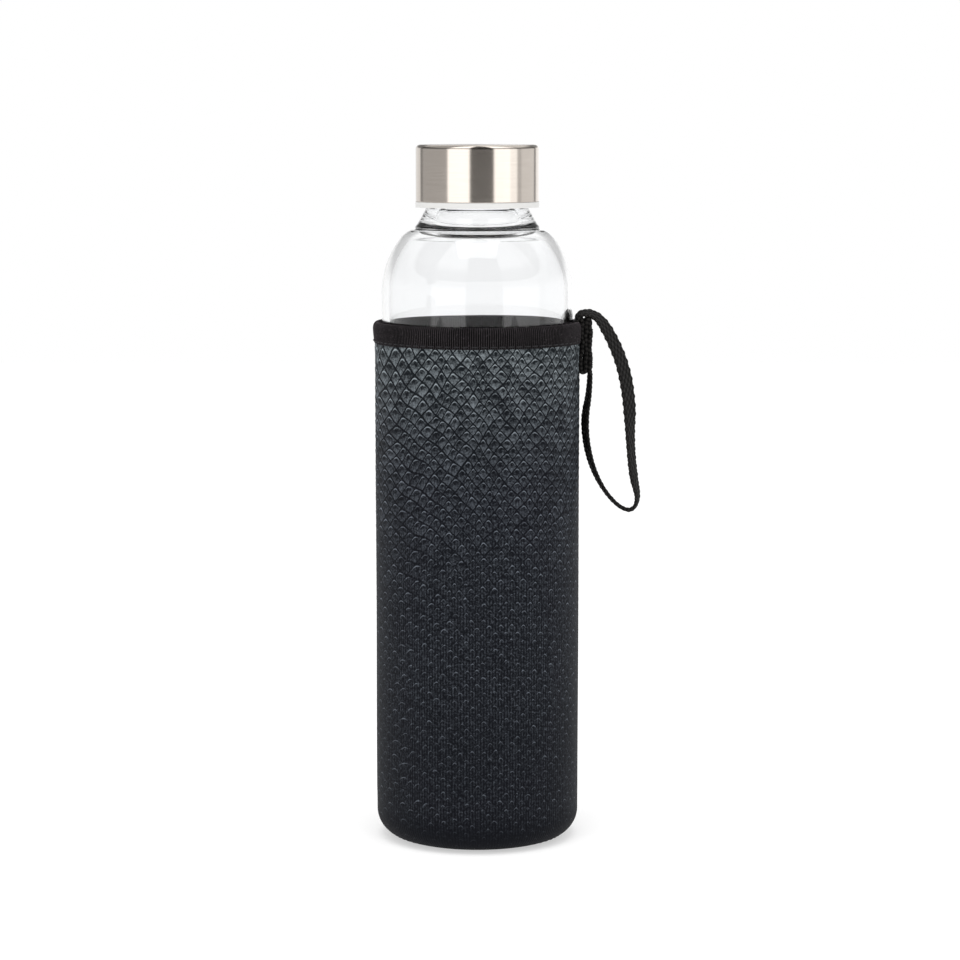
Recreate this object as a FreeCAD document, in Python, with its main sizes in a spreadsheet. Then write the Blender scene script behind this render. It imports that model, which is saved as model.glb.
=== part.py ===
"""Glass water bottle with a screw lid, standing in a pull-on neoprene sleeve with a wrist loop.

Millimetres, +Z up. The origin is on the bottle's axis at the underside of the sleeve. The side
seam and the wrist loop are on +X. Each body's Label is the name of its node.
"""

import FreeCAD, Part
import math
import os

import Sketcher

os.makedirs("parts", exist_ok=True)
doc = FreeCAD.newDocument("WaterBottle")
Vec = FreeCAD.Vector

# ---------------------------------------------------------------- driving dimensions
SIZES = {
    # sleeve: three plies, inside to outside, and the round of its bottom corner
    "pocket_radius": 32.8,
    "lining_ply": 0.3,
    "foam_ply": 1.15,
    "face_ply": 0.3,
    "glue_line": 0.05,
    "corner_radius": 9,
    "seam_angle": 62,
    "seam_gap_angle": 2,
    "flare_low": 165,
    "flare_high": 169.5,
    "flare_lining": 0.5,
    "flare_foam_out": 0.2,
    "flare_face": 0.15,
    "sleeve_top": 176.1,
    # tape folded over the sleeve's rim
    "tape_thickness": 0.5,
    "tape_inner_thickness": 0.45,
    "tape_outer_radius": 35.35,
    "tape_low": 170.4,
    "tape_straight_top": 176.2,
    # glass
    "base_gap": 0.3,
    "glass_radius": 32.5,
    "glass_wall": 2.7,
    "glass_corner": 6.85,
    "pushup_radius": 19.5,
    "pushup_height": 1.8,
    "floor_radius": 24.3,
    "floor_edge": 3.4,
    "floor_dome": 1.4,
    "shoulder_low": 187.4,
    "shoulder_radius": 30,
    "shoulder_turn": 38,
    "crown_radius": 9,
    "crown_turn": 65,
    "bead_radius": 21.1,
    "bead_low": 208.7,
    "bead_top_radius": 20.4,
    "bead_high": 209.9,
    "bead_round": 0.85,
    "neck_radius": 17.4,
    "neck_low": 215.6,
    "bore_radius": 14.8,
    "bore_low": 211.2,
    "throat_radius": 16.53,
    "throat_low": 208.45,
    "throat_round": 3,
    "rim_top": 234,
    "rim_round": 0.7,
    # screw thread, one start
    "thread_pitch": 4.2,
    "thread_turns": 1.5,
    "glass_thread_low": 222.6,
    "thread_crest": 18.9,
    "thread_crest_half": 0.5,
    "thread_root_half": 0.95,
    # lid
    "lid_radius": 20.9,
    "lid_top": 237.3,
    "lid_skirt_low": 218.1,
    "steel": 0.5,
    "lid_edge": 1.5,
    "liner_fit": 0.05,
    "liner_wall_radius": 19.2,
    "liner_low": 216.2,
    "liner_flange_radius": 21.0,
    "liner_ceiling": 235.5,
    "liner_crest": 17.8,
    "seal_outer": 19,
    "seal_inner": 13.5,
    "seal_low": 234.1,
    "seal_high": 235.45,
    # wrist loop, woven webbing
    "web_width": 10,
    "web_thickness": 1.15,
    "tab_inner_face": 35.45,
    "tab_low": 160,
    "tab_high": 177.4,
    "tab_layer_gap": 0.05,
    # sewing thread
    "thread_radius": 0.2,
    "stitch_pitch": 3,
    "stitch_length": 2.2,
    "rim_stitch_height": 171.2,
    "seam_stitch_low": 11,
    "seam_stitch_high": 158,
}

sheet = doc.addObject("Spreadsheet::Sheet", "Dims")
for row, (alias, number) in enumerate(SIZES.items(), start=1):
    sheet.set(f"A{row}", alias)
    sheet.set(f"B{row}", str(number))
    sheet.setAlias(f"B{row}", alias)
doc.recompute()


class Dim:
    """A size that carries its spreadsheet expression along with its value."""

    def __init__(self, value, text):
        self.value = value
        self.text = text

    def __add__(self, other):
        other = as_dim(other)
        return Dim(self.value + other.value, f"({self.text} + {other.text})")

    def __sub__(self, other):
        other = as_dim(other)
        return Dim(self.value - other.value, f"({self.text} - {other.text})")

    def __mul__(self, other):
        other = as_dim(other)
        return Dim(self.value * other.value, f"{self.text} * {other.text}")

    def __truediv__(self, other):
        other = as_dim(other)
        return Dim(self.value / other.value, f"({self.text}) / ({other.text})")


def as_dim(thing):
    return thing if isinstance(thing, Dim) else Dim(float(thing), f"({thing})")


def dim(alias):
    return Dim(float(sheet.get(alias)), f"Dims.{alias}")


def cos_of(angle):
    return Dim(math.cos(math.radians(angle.value)), f"cos({angle.text} * 1 deg)")


def sin_of(angle):
    return Dim(math.sin(math.radians(angle.value)), f"sin({angle.text} * 1 deg)")


def dome_radius(half_chord, rise):
    """Radius of the arc over a half chord with a rise in the middle."""
    return (half_chord * half_chord + rise * rise) / (rise * 2)


# ---------------------------------------------------------------- sketches and bodies
ZERO = Dim(0.0, "0")


def new_body(label):
    body = doc.addObject("PartDesign::Body", label)
    body.Label = label
    return body


def plane_of(body, role):
    return next(f for f in body.Origin.OriginFeatures if f.Role == role)


def arc_through(start, end, radius, bulge):
    """Arc from start to end; bulge +1 leaves its centre on the left of the way, -1 on the right."""
    chord = end - start
    middle = (start + end) * 0.5
    left = Vec(-chord.y, chord.x, 0).normalize()
    height = math.sqrt(max(radius ** 2 - (chord.Length / 2) ** 2, 0))
    centre = middle + left * height * bulge
    first = math.atan2(start.y - centre.y, start.x - centre.x)
    last = math.atan2(end.y - centre.y, end.x - centre.x)
    circle = Part.Circle(centre, Vec(0, 0, 1), radius)
    if bulge > 0:
        return Part.ArcOfCircle(circle, first, last), (1, 2)
    return Part.ArcOfCircle(circle, last, first), (2, 1)


def outline_sketch(body, name, role, corners, rounds=None):
    """Closed outline bound to the sheet.

    corners are pairs of Dim; rounds gives the radius and bulge of the side that follows a corner.
    """
    rounds = rounds or {}
    sketch = body.newObject("Sketcher::SketchObject", name)
    sketch.AttachmentSupport = [(plane_of(body, role), "")]
    sketch.MapMode = "FlatFace"
    places = [Vec(across.value, up.value, 0) for across, up in corners]
    sides = []
    for i, start in enumerate(places):
        end = places[(i + 1) % len(places)]
        if i in rounds:
            radius, bulge = rounds[i]
            arc, ends = arc_through(start, end, radius.value, bulge)
            sides.append((sketch.addGeometry(arc, False), ends))
        else:
            sides.append((sketch.addGeometry(Part.LineSegment(start, end), False), (1, 2)))
    for i, (side, ends) in enumerate(sides):
        following, next_ends = sides[(i + 1) % len(sides)]
        sketch.addConstraint(Sketcher.Constraint("Coincident", side, ends[1], following, next_ends[0]))
    for i, (side, ends) in enumerate(sides):
        across, up = corners[i]
        for kind, size, axis in (("DistanceX", across, "x"), ("DistanceY", up, "y")):
            rule = Sketcher.Constraint(kind, -1, 1, side, ends[0], size.value)
            index = sketch.addConstraint(rule)
            sketch.renameConstraint(index, f"corner{i}{axis}")
            sketch.setExpression(f"Constraints.corner{i}{axis}", size.text)
        if i in rounds:
            radius = rounds[i][0]
            index = sketch.addConstraint(Sketcher.Constraint("Radius", side, radius.value))
            sketch.renameConstraint(index, f"round{i}")
            sketch.setExpression(f"Constraints.round{i}", radius.text)
    return sketch


def turned(body, name, corners, rounds=None):
    """Solid of revolution about +Z from an outline of radius and height."""
    sketch = outline_sketch(body, name + "_outline", "XZ_Plane", corners, rounds)
    turn = body.newObject("PartDesign::Revolution", name)
    turn.Profile = sketch
    turn.ReferenceAxis = (sketch, ["V_Axis"])
    turn.Angle = 360
    sketch.Visibility = False
    doc.recompute()
    return turn


def screw_ridge(body, name, root, crest, low):
    """Helical ridge of the closure's thread, from its root radius to its crest radius."""
    crest_half = dim("thread_crest_half")
    root_half = dim("thread_root_half")
    corners = [
        (root, low - root_half),
        (crest, low - crest_half),
        (crest, low + crest_half),
        (root, low + root_half),
    ]
    sketch = outline_sketch(body, name + "_outline", "XZ_Plane", corners)
    doc.recompute()
    ridge = body.newObject("PartDesign::AdditiveHelix", name)
    ridge.Profile = sketch
    ridge.ReferenceAxis = (sketch, ["V_Axis"])
    ridge.Mode = 0
    ridge.Pitch = dim("thread_pitch").value
    ridge.setExpression("Pitch", "Dims.thread_pitch")
    ridge.Height = dim("thread_pitch").value * dim("thread_turns").value
    ridge.setExpression("Height", "Dims.thread_pitch * Dims.thread_turns")
    ridge.LeftHanded = False
    sketch.Visibility = False
    doc.recompute()
    return ridge


# ---------------------------------------------------------------- sleeve: three laminated plies
corner_round = dim("corner_radius")
corner_across = dim("pocket_radius") + dim("lining_ply") + dim("foam_ply") + dim("face_ply")
corner_across = corner_across + dim("glue_line") * 2 - corner_round
face_in = corner_round - dim("face_ply")
foam_out = face_in - dim("glue_line")
foam_in = foam_out - dim("foam_ply")
lining_out = foam_in - dim("glue_line")
lining_in = lining_out - dim("lining_ply")


def on_corner(radius, angle):
    """Point on the bottom corner, at an angle below the horizontal."""
    return (corner_across + radius * cos_of(angle), corner_round - radius * sin_of(angle))


def wall_ply(label, inner, outer, inner_flare, outer_flare):
    """Tube of one ply: the turned-in bottom corner, the wall, and the flare under the rim tape."""
    body = new_body(label)
    angle = dim("seam_angle")
    corners = [
        on_corner(outer, angle),
        (corner_across + outer, corner_round),
        (corner_across + outer, dim("flare_low")),
        (corner_across + outer + outer_flare, dim("flare_high")),
        (corner_across + outer + outer_flare, dim("sleeve_top")),
        (corner_across + inner + inner_flare, dim("sleeve_top")),
        (corner_across + inner + inner_flare, dim("flare_high")),
        (corner_across + inner, dim("flare_low")),
        (corner_across + inner, corner_round),
        on_corner(inner, angle),
    ]
    turned(body, label + "_ply", corners, {0: (outer, 1), 8: (inner, -1)})
    return body


def base_ply(label, inner, outer):
    """Round bottom of one ply: flat, with its edge turned up to the seam."""
    body = new_body(label)
    angle = dim("seam_angle") + dim("seam_gap_angle")
    corners = [
        (ZERO, corner_round - outer),
        (corner_across, corner_round - outer),
        on_corner(outer, angle),
        on_corner(inner, angle),
        (corner_across, corner_round - inner),
        (ZERO, corner_round - inner),
    ]
    turned(body, label + "_ply", corners, {1: (outer, 1), 3: (inner, -1)})
    return body


flare_lining = dim("flare_lining")
flare_foam_out = dim("flare_foam_out")
flare_face = dim("flare_face")
wall_ply("wall_lining", lining_in, lining_out, flare_lining, flare_lining)
wall_ply("wall_foam", foam_in, foam_out, flare_lining, flare_foam_out)
wall_ply("wall_face", face_in, corner_round, flare_foam_out, flare_face)
base_ply("base_lining", lining_in, lining_out)
base_ply("base_foam", foam_in, foam_out)
base_ply("base_face", face_in, corner_round)

# ---------------------------------------------------------------- tape folded over the rim
binding = new_body("rim_binding")
tape_out = dim("tape_outer_radius")
tape_in = dim("pocket_radius")
tape_half = (tape_out - tape_in) / 2
cavity_in = tape_in + dim("tape_inner_thickness")
cavity_out = tape_out - dim("tape_thickness")
cavity_half = (cavity_out - cavity_in) / 2
turned(
    binding,
    "rim_fold",
    [
        (tape_out, dim("tape_low")),
        (tape_out, dim("tape_straight_top")),
        (tape_in, dim("tape_straight_top")),
        (tape_in, dim("tape_low")),
        (cavity_in, dim("tape_low")),
        (cavity_in, dim("tape_straight_top")),
        (cavity_out, dim("tape_straight_top")),
        (cavity_out, dim("tape_low")),
    ],
    {1: (tape_half * 1.0001, 1), 5: (cavity_half * 1.0001, -1)},
)

# ---------------------------------------------------------------- glass bottle
glass = new_body("glass_bottle")
pocket_floor = corner_round - lining_in
base = pocket_floor + dim("base_gap")
wall_out = dim("glass_radius")
wall_in = wall_out - dim("glass_wall")
shoulder = dim("shoulder_radius")
shoulder_in = shoulder - dim("glass_wall")
crown = dim("crown_radius")
crown_in = crown - dim("glass_wall")
turn_one = dim("shoulder_turn")
turn_two = dim("crown_turn")
shoulder_axis = wall_out - shoulder
shoulder_low = dim("shoulder_low")
crown_axis = shoulder_axis + (shoulder - crown) * cos_of(turn_one)
crown_low = shoulder_low + (shoulder - crown) * sin_of(turn_one)
floor_corner = wall_in - dim("floor_radius")
rim = dim("rim_top")
rim_round = dim("rim_round")
turned(
    glass,
    "blown_shape",
    [
        (ZERO, base + dim("pushup_height")),
        (dim("pushup_radius"), base),
        (wall_out - dim("glass_corner"), base),
        (wall_out, base + dim("glass_corner")),
        (wall_out, shoulder_low),
        (shoulder_axis + shoulder * cos_of(turn_one), shoulder_low + shoulder * sin_of(turn_one)),
        (crown_axis + crown * cos_of(turn_two), crown_low + crown * sin_of(turn_two)),
        (dim("bead_radius"), dim("bead_low")),
        (dim("bead_top_radius"), dim("bead_high")),
        (dim("neck_radius"), dim("neck_low")),
        (dim("neck_radius"), rim - rim_round),
        (dim("neck_radius") - rim_round, rim),
        (dim("bore_radius") + rim_round, rim),
        (dim("bore_radius"), rim - rim_round),
        (dim("bore_radius"), dim("bore_low")),
        (dim("throat_radius"), dim("throat_low")),
        (crown_axis + crown_in * cos_of(turn_two), crown_low + crown_in * sin_of(turn_two)),
        (
            shoulder_axis + shoulder_in * cos_of(turn_one),
            shoulder_low + shoulder_in * sin_of(turn_one),
        ),
        (wall_in, shoulder_low),
        (wall_in, base + dim("floor_edge") + floor_corner),
        (dim("floor_radius"), base + dim("floor_edge")),
        (ZERO, base + dim("floor_edge") + dim("floor_dome")),
    ],
    {
        0: (dome_radius(dim("pushup_radius"), dim("pushup_height")), -1),
        2: (dim("glass_corner"), 1),
        4: (shoulder, 1),
        5: (crown, 1),
        7: (dim("bead_round"), 1),
        10: (rim_round, 1),
        12: (rim_round, 1),
        14: (dim("throat_round"), 1),
        16: (crown_in, -1),
        17: (shoulder_in, -1),
        19: (floor_corner, -1),
        20: (dome_radius(dim("floor_radius"), dim("floor_dome")), 1),
    },
)
glass_ridge = screw_ridge(
    glass,
    "glass_thread",
    dim("neck_radius") - 0.3,
    dim("thread_crest"),
    dim("glass_thread_low"),
)

# ---------------------------------------------------------------- screw lid
shell = new_body("lid_shell")
lid_out = dim("lid_radius")
lid_in = lid_out - dim("steel")
lid_top = dim("lid_top")
edge_out = dim("lid_edge")
edge_in = edge_out - dim("steel")
turned(
    shell,
    "drawn_cup",
    [
        (lid_out, dim("lid_skirt_low")),
        (lid_out, lid_top - edge_out),
        (lid_out - edge_out, lid_top),
        (ZERO, lid_top),
        (ZERO, lid_top - dim("steel")),
        (lid_in - edge_in, lid_top - dim("steel")),
        (lid_in, lid_top - dim("steel") - edge_in),
        (lid_in, dim("lid_skirt_low")),
    ],
    {1: (edge_out, 1), 5: (edge_in, -1)},
)

liner = new_body("lid_liner")
fit = dim("liner_fit")
liner_out = lid_in - fit
liner_top = lid_top - dim("steel") - fit
flange_top = dim("lid_skirt_low") - fit
turned(
    liner,
    "moulded_cup",
    [
        (dim("liner_wall_radius"), dim("liner_low")),
        (dim("liner_flange_radius"), dim("liner_low")),
        (dim("liner_flange_radius"), flange_top),
        (liner_out, flange_top),
        (liner_out, liner_top - edge_in),
        (liner_out - edge_in, liner_top),
        (ZERO, liner_top),
        (ZERO, dim("liner_ceiling")),
        (dim("liner_wall_radius"), dim("liner_ceiling")),
    ],
    {4: (edge_in, 1)},
)
liner_ridge = screw_ridge(
    liner,
    "liner_thread",
    dim("liner_wall_radius") + 0.3,
    dim("liner_crest"),
    dim("glass_thread_low") - dim("thread_pitch") / 2,
)

seal = new_body("lid_seal")
turned(
    seal,
    "flat_ring",
    [
        (dim("seal_inner"), dim("seal_low")),
        (dim("seal_outer"), dim("seal_low")),
        (dim("seal_outer"), dim("seal_high")),
        (dim("seal_inner"), dim("seal_high")),
    ],
)

# ---------------------------------------------------------------- wrist loop of flat webbing
# The loop leaves the top of the rim, arches outward, hangs, and comes back up to the sewn tab.
LOOP_ROUTE = [
    (33.9, 177.55),
    (34, 182.3),
    (39.6, 181.7),
    (44.2, 173.6),
    (48.9, 162.6),
    (51.2, 149.5),
    (51.6, 136.5),
    (53, 123.8),
    (54.9, 115.4),
    (53, 111.4),
    (48.6, 113),
    (43.4, 119.2),
    (39.2, 127.2),
    (36.9, 135.8),
    (36.4, 144.6),
    (38.3, 153.4),
    (38.43, 159.9),
]


def rounded_route(points):
    """The route's runs and tangent arcs: (start, end) or (start, end, centre, turn) in order."""
    places = [Vec(across, up, 0) for across, up in points]
    pieces = []
    here = places[0]
    for before, corner, after in zip(places, places[1:], places[2:]):
        run_in = (corner - before).normalize()
        run_out = (after - corner).normalize()
        turn = math.atan2(run_in.x * run_out.y - run_in.y * run_out.x, run_in.dot(run_out))
        reach = 0.45 * min((corner - before).Length, (after - corner).Length)
        radius = reach / math.tan(abs(turn) / 2)
        start = corner - run_in * reach
        end = corner + run_out * reach
        side = math.copysign(1, turn)
        centre = start + Vec(-run_in.y, run_in.x, 0) * radius * side
        pieces.append(("run", here, start))
        pieces.append(("arc", start, end, centre, radius, turn))
        here = end
    pieces.append(("run", here, places[-1]))
    return pieces


def webbing_outline(pieces, half):
    """Edges of a strip of even thickness along the route, as seen from the side."""
    left, right = [], []
    for piece in pieces:
        if piece[0] == "run":
            start, end = piece[1], piece[2]
            along = (end - start).normalize()
            out = Vec(-along.y, along.x, 0) * half
            left.append(("run", start + out, end + out))
            right.append(("run", start - out, end - out))
        else:
            start, end, centre, radius, turn = piece[1:]
            side = math.copysign(1, turn)
            for row, way in ((left, 1), (right, -1)):
                size = radius - half * side * way
                first = centre + (start - centre) * (size / radius)
                last = centre + (end - centre) * (size / radius)
                row.append(("arc", first, last, size, side))
    closed = list(left)
    closed.append(("run", left[-1][2], right[-1][2]))
    for piece in reversed(right):
        if piece[0] == "run":
            closed.append(("run", piece[2], piece[1]))
        else:
            closed.append(("arc", piece[2], piece[1], piece[3], -piece[4]))
    closed.append(("run", right[0][1], left[0][1]))
    return closed


def webbing_strip(label, closed):
    """Pad of a side outline across the webbing's width, centred on the seam."""
    body = new_body(label)
    sketch = body.newObject("Sketcher::SketchObject", label + "_side")
    sketch.AttachmentSupport = [(plane_of(body, "XZ_Plane"), "")]
    sketch.MapMode = "FlatFace"
    ends = []
    for piece in closed:
        if piece[0] == "run":
            ends.append((sketch.addGeometry(Part.LineSegment(piece[1], piece[2]), False), (1, 2)))
        else:
            arc, order = arc_through(piece[1], piece[2], piece[3], piece[4])
            ends.append((sketch.addGeometry(arc, False), order))
    for i, (side, order) in enumerate(ends):
        following, next_order = ends[(i + 1) % len(ends)]
        joint = Sketcher.Constraint("Coincident", side, order[1], following, next_order[0])
        sketch.addConstraint(joint)
    for side in range(len(ends)):
        sketch.addConstraint(Sketcher.Constraint("Block", side))
    pad = body.newObject("PartDesign::Pad", label + "_strip")
    pad.Profile = sketch
    pad.Length = dim("web_width").value
    pad.setExpression("Length", "Dims.web_width")
    pad.Midplane = True
    sketch.Visibility = False
    doc.recompute()
    return body


web = dim("web_thickness").value
loop_pieces = rounded_route(LOOP_ROUTE)
loop_length = 0.0
for piece in loop_pieces:
    if piece[0] == "run":
        loop_length += (piece[2] - piece[1]).Length
    else:
        loop_length += abs(piece[4] * piece[5])
loop = webbing_strip("strap_loop", webbing_outline(loop_pieces, web / 2))
loop_volume = loop_length * web * dim("web_width").value
print("loop bend radii:", [round(piece[4], 1) for piece in loop_pieces if piece[0] == "arc"])
print(f"loop length {loop_length:.1f}, volume {loop.Shape.Volume:.1f}, expected {loop_volume:.1f}")
if abs(loop.Shape.Volume / loop_volume - 1) > 0.01:
    raise ValueError("strap_loop's volume is not its section times its length")

# The tab: the loop's end folded in three on the seam, a U at the bottom and a U at the top.
layer = web + dim("tab_layer_gap").value
first_layer = dim("tab_inner_face").value + web / 2
tab_low = dim("tab_low").value
tab_high = dim("tab_high").value
fold = layer / 2
tab_pieces = [
    ("run", Vec(first_layer, tab_high, 0), Vec(first_layer, tab_low + fold + web / 2, 0)),
    (
        "arc",
        Vec(first_layer, tab_low + fold + web / 2, 0),
        Vec(first_layer + layer, tab_low + fold + web / 2, 0),
        Vec(first_layer + fold, tab_low + fold + web / 2, 0),
        fold,
        math.pi,
    ),
    (
        "run",
        Vec(first_layer + layer, tab_low + fold + web / 2, 0),
        Vec(first_layer + layer, tab_high - fold - web / 2, 0),
    ),
    (
        "arc",
        Vec(first_layer + layer, tab_high - fold - web / 2, 0),
        Vec(first_layer + 2 * layer, tab_high - fold - web / 2, 0),
        Vec(first_layer + layer + fold, tab_high - fold - web / 2, 0),
        fold,
        -math.pi,
    ),
    (
        "run",
        Vec(first_layer + 2 * layer, tab_high - fold - web / 2, 0),
        Vec(first_layer + 2 * layer, tab_low, 0),
    ),
]
webbing_strip("strap_tab", webbing_outline(tab_pieces, web / 2))

# ---------------------------------------------------------------- sewing thread
thread = dim("thread_radius").value
stitch = dim("stitch_length").value
pitch = dim("stitch_pitch").value


def stitch_bar(middle, along, length):
    """One straight stitch of thread, lying on the cloth."""
    along = Vec(along).normalize()
    return Part.makeCylinder(thread, length, Vec(middle) - along * (length / 2), along)


def ring_of_stitches(radius, height):
    count = int(2 * math.pi * radius / pitch)
    bars = []
    for i in range(count):
        angle = 2 * math.pi * (i + 0.5) / count
        middle = Vec(radius * math.cos(angle), radius * math.sin(angle), height)
        bars.append(stitch_bar(middle, Vec(-math.sin(angle), math.cos(angle), 0), stitch))
    return bars


def thread_piece(label, bars):
    piece = doc.addObject("Part::Feature", label)
    piece.Label = label
    piece.Shape = Part.makeCompound(bars)
    return piece


def clear_of(radius, length):
    """Radius at which a straight stitch clears a round surface along its whole length."""
    return radius + thread + 0.03


rim_radius = dim("tape_outer_radius").value
tab_half_angle = math.asin((dim("web_width").value / 2 + 1) / rim_radius)
rim_bars = []
for bar in ring_of_stitches(clear_of(rim_radius, stitch), dim("rim_stitch_height").value):
    middle = bar.CenterOfMass
    if abs(math.atan2(middle.y, middle.x)) > tab_half_angle:
        rim_bars.append(bar)
thread_piece("binding_stitches", rim_bars)

seam_radius = clear_of((corner_across + corner_round).value, 0)
seam_low = dim("seam_stitch_low").value
seam_count = int((dim("seam_stitch_high").value - seam_low) / pitch)
seam_bars = []
for i in range(seam_count):
    middle = Vec(seam_radius, 0, seam_low + (i + 0.5) * pitch)
    seam_bars.append(stitch_bar(middle, Vec(0, 0, 1), stitch))
thread_piece("side_seam_stitches", seam_bars)

base_angle = dim("seam_angle") + dim("seam_gap_angle") / 2
base_ring = on_corner(corner_round + thread + 0.03, base_angle)
thread_piece("base_seam_stitches", ring_of_stitches(base_ring[0].value, base_ring[1].value))

tab_face = first_layer + 2 * layer + web / 2 + thread + 0.03
tack_length = dim("web_width").value - 2
tack_bars = []
for tack_low in (tab_low + 2, tab_high - 5):
    for i in range(4):
        middle = Vec(tab_face, 0, tack_low + i * 0.75)
        tack_bars.append(stitch_bar(middle, Vec(0, 1, 0), tack_length))
thread_piece("tab_stitches", tack_bars)

# ---------------------------------------------------------------- checks and export
NODES = [
    "glass_bottle",
    "lid_shell",
    "lid_liner",
    "lid_seal",
    "wall_face",
    "wall_foam",
    "wall_lining",
    "base_face",
    "base_foam",
    "base_lining",
    "rim_binding",
    "strap_loop",
    "strap_tab",
    "binding_stitches",
    "side_seam_stitches",
    "base_seam_stitches",
    "tab_stitches",
]

doc.recompute()
for item in doc.Objects:
    if "Invalid" in item.State or "Error" in item.State:
        raise ValueError(f"{item.Label} did not recompute: {item.State}")
for label in NODES:
    shape = doc.getObjectsByLabel(label)[0].Shape
    if shape.isNull() or not shape.isValid() or not shape.Solids:
        raise ValueError(f"{label} has no valid solid")
    box = shape.BoundBox
    print(
        f"{label:20} solids {len(shape.Solids):3} volume {shape.Volume:10.1f} "
        f"x {box.XMin:7.2f} {box.XMax:7.2f} z {box.ZMin:7.2f} {box.ZMax:7.2f}"
    )
for label in NODES:
    doc.getObjectsByLabel(label)[0].Shape.exportStep(f"parts/{label}.step")
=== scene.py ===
"""Blender scene of the glass water bottle in its padded sleeve. Metres, in the CAD model's frame."""

import math
import random

import bmesh
import bpy
import numpy as np
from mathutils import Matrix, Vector


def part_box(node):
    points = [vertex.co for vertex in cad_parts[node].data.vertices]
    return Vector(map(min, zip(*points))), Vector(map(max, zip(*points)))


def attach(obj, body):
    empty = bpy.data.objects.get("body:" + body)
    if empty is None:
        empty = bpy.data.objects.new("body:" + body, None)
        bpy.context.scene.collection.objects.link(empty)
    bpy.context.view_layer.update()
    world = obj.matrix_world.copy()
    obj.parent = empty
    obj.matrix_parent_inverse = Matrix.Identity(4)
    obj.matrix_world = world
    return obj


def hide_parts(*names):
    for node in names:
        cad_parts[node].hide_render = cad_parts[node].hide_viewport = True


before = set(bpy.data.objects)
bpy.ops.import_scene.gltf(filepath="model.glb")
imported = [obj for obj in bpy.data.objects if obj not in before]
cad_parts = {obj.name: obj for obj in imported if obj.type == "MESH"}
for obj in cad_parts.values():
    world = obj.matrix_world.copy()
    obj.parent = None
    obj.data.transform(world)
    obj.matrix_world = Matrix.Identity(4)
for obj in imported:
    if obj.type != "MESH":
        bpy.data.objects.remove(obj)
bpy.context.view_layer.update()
MM = 0.001
scene = bpy.context.scene


def link(obj):
    scene.collection.objects.link(obj)
    return obj


# ------------------------------------------------------------------ camera
CAMERA_LENS = 111.64
CAMERA_PLACE = (0.0009, -1.013, 0.2456)
CAMERA_DIP = 6.9  # degrees that it looks below the level

camera_data = bpy.data.cameras.new("camera")
camera_data.sensor_width = 36.0
camera_data.lens = CAMERA_LENS
camera_data.clip_start = 0.01
camera_data.clip_end = 50.0
camera = link(bpy.data.objects.new("camera", camera_data))
camera.location = CAMERA_PLACE
camera.rotation_euler = (math.radians(90 - CAMERA_DIP), 0.0, 0.0)
scene.camera = camera


# ------------------------------------------------------------------ node helpers
class Value:
    """A number worked out by shader nodes, written like ordinary arithmetic."""

    def __init__(self, tree, socket):
        self.tree = tree
        self.socket = socket

    def math(self, kind, *others):
        node = self.tree.nodes.new("ShaderNodeMath")
        node.operation = kind
        for slot, item in zip(node.inputs, (self, *others)):
            if isinstance(item, Value):
                self.tree.links.new(item.socket, slot)
            else:
                slot.default_value = item
        return Value(self.tree, node.outputs[0])

    def __add__(self, other):
        return self.math("ADD", other)

    def __sub__(self, other):
        return self.math("SUBTRACT", other)

    def __mul__(self, other):
        return self.math("MULTIPLY", other)

    def flip(self):
        """One less the value."""
        return self.math("MULTIPLY_ADD", -1.0, 1.0)

    def turned(self, other):
        """Angle about the axis, with this value as x and the other as y."""
        return self.math("ARCTAN2", other)

    def fract(self):
        return self.math("FRACT")

    def floor(self):
        return self.math("FLOOR")

    def sine(self):
        return self.math("SINE")

    def cosine(self):
        return self.math("COSINE")

    def absolute(self):
        return self.math("ABSOLUTE")

    def power(self, other):
        return self.math("POWER", other)

    def least(self, other):
        return self.math("MINIMUM", other)

    def most(self, other):
        return self.math("MAXIMUM", other)

    def smooth_least(self, other, width):
        return self.math("SMOOTH_MIN", other, width)

    def step(self, low, high, out_low=0.0, out_high=1.0):
        """Smooth change from out_low to out_high as the value goes from low to high."""
        node = self.tree.nodes.new("ShaderNodeMapRange")
        node.interpolation_type = "SMOOTHSTEP"
        self.tree.links.new(self.socket, node.inputs["Value"])
        for name, number in (
            ("From Min", low),
            ("From Max", high),
            ("To Min", out_low),
            ("To Max", out_high),
        ):
            node.inputs[name].default_value = number
        return Value(self.tree, node.outputs[0])

    def bump(self, middle, width):
        """A smooth hump of height 1 about the middle."""
        away = (self - middle).absolute()
        return away.step(0.0, width, 1.0, 0.0)


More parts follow.
